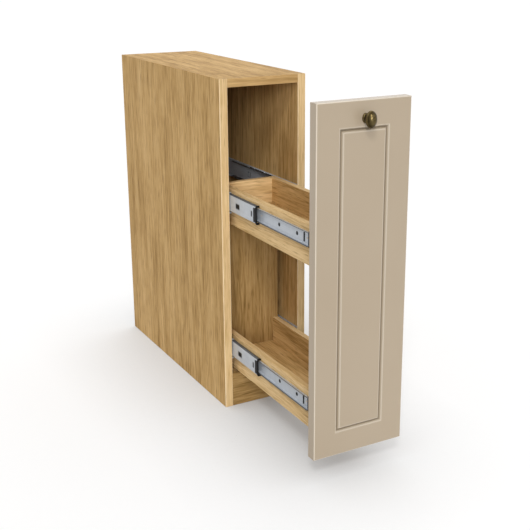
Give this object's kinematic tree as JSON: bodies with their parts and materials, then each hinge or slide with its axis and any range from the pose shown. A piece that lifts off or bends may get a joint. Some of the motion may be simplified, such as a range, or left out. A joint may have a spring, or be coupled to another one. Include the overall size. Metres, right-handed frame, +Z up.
{
  "type": "kitchen base cabinet with pull-out",
  "caption": "Narrow floor-standing base cabinet with an oak-effect carcass and a painted pull-out front that carries stacked trays on ball-bearing runners.",
  "frame": {"origin": "middle of the plinth board's underside, on the floor, in the cabinet's middle plane", "axes": "+X to the cabinet's right seen from the front, +Y to the rear, +Z up; the pull-out opens along -Y"},
  "size_m": [0.2, 0.965, 0.72],
  "materials": {
    "oak_board": "oak-effect foil, satin, grain along the length of each board",
    "oak_edge": "oak-effect edge band, satin",
    "beech_dowel": "plain beech",
    "painted_front": "taupe satin paint on fibreboard",
    "zinc_steel": "bright zinc plate",
    "screw_steel": "black zinc plate",
    "bearing_steel": "polished",
    "black_plastic": "matte moulded",
    "soft_pad": "clear soft pad",
    "antique_brass": "antique, worn bright on the high parts"
  },
  "bodies": {
    "carcass": {"left_side_panel": "oak_board", "right_side_panel": "oak_board", "top_panel": "oak_board", "bottom_panel": "oak_board", "plinth_board": "oak_board", "back_panel": "oak_board", "left_edge_band": "oak_edge", "right_edge_band": "oak_edge", "top_edge_band": "oak_edge", "carcass_dowels": "beech_dowel", "upper_left_cabinet_rail": "zinc_steel", "upper_right_cabinet_rail": "zinc_steel", "lower_left_cabinet_rail": "zinc_steel", "lower_right_cabinet_rail": "zinc_steel", "cabinet_rail_screws": "screw_steel"},
    "pull_out": {"front_panel": "painted_front", "knob": "antique_brass", "knob_rose": "antique_brass", "knob_bolt": "screw_steel", "front_bumpers": "soft_pad", "front_screws": "screw_steel", "upper_tray_left_side": "oak_board", "upper_tray_right_side": "oak_board", "upper_tray_front": "oak_board", "upper_tray_back": "oak_board", "upper_tray_floor": "oak_board", "lower_tray_left_side": "oak_board", "lower_tray_right_side": "oak_board", "lower_tray_front": "oak_board", "lower_tray_floor": "oak_board", "tie_board": "oak_board", "tie_dowels": "beech_dowel", "tie_screws": "screw_steel", "upper_left_drawer_rail": "zinc_steel", "upper_right_drawer_rail": "zinc_steel", "lower_left_drawer_rail": "zinc_steel", "lower_right_drawer_rail": "zinc_steel", "drawer_rail_screws": "screw_steel", "drawer_rail_buffers": "black_plastic", "drawer_rail_catches": "black_plastic"},
    "intermediate_rails": {"upper_left_intermediate_rail": "zinc_steel", "upper_right_intermediate_rail": "zinc_steel", "lower_left_intermediate_rail": "zinc_steel", "lower_right_intermediate_rail": "zinc_steel", "intermediate_end_stops": "black_plastic"},
    "outer_cages": {"outer_ball_cages": "screw_steel", "outer_balls": "bearing_steel"},
    "inner_cages": {"inner_ball_cages": "screw_steel", "inner_balls": "bearing_steel"}
  },
  "joints": [
    {"name": "pull_out_slide", "type": "slide", "parent": "carcass", "child": "pull_out", "axis": [0, -1, 0], "range_m": [-0.352, 0.096]},
    {"name": "intermediate_slide", "type": "slide", "parent": "carcass", "child": "intermediate_rails", "axis": [0, -1, 0], "range_m": [-0.11616, 0.03168]},
    {"name": "outer_cage_slide", "type": "slide", "parent": "carcass", "child": "outer_cages", "axis": [0, -1, 0], "range_m": [-0.05808, 0.01584]},
    {"name": "inner_cage_slide", "type": "slide", "parent": "carcass", "child": "inner_cages", "axis": [0, -1, 0], "range_m": [-0.23408, 0.06384]}
  ],
  "couplings": [
    {"joint": "intermediate_slide", "follows": "pull_out_slide", "ratio": 0.33},
    {"joint": "outer_cage_slide", "follows": "pull_out_slide", "ratio": 0.165},
    {"joint": "inner_cage_slide", "follows": "pull_out_slide", "ratio": 0.665}
  ]
}
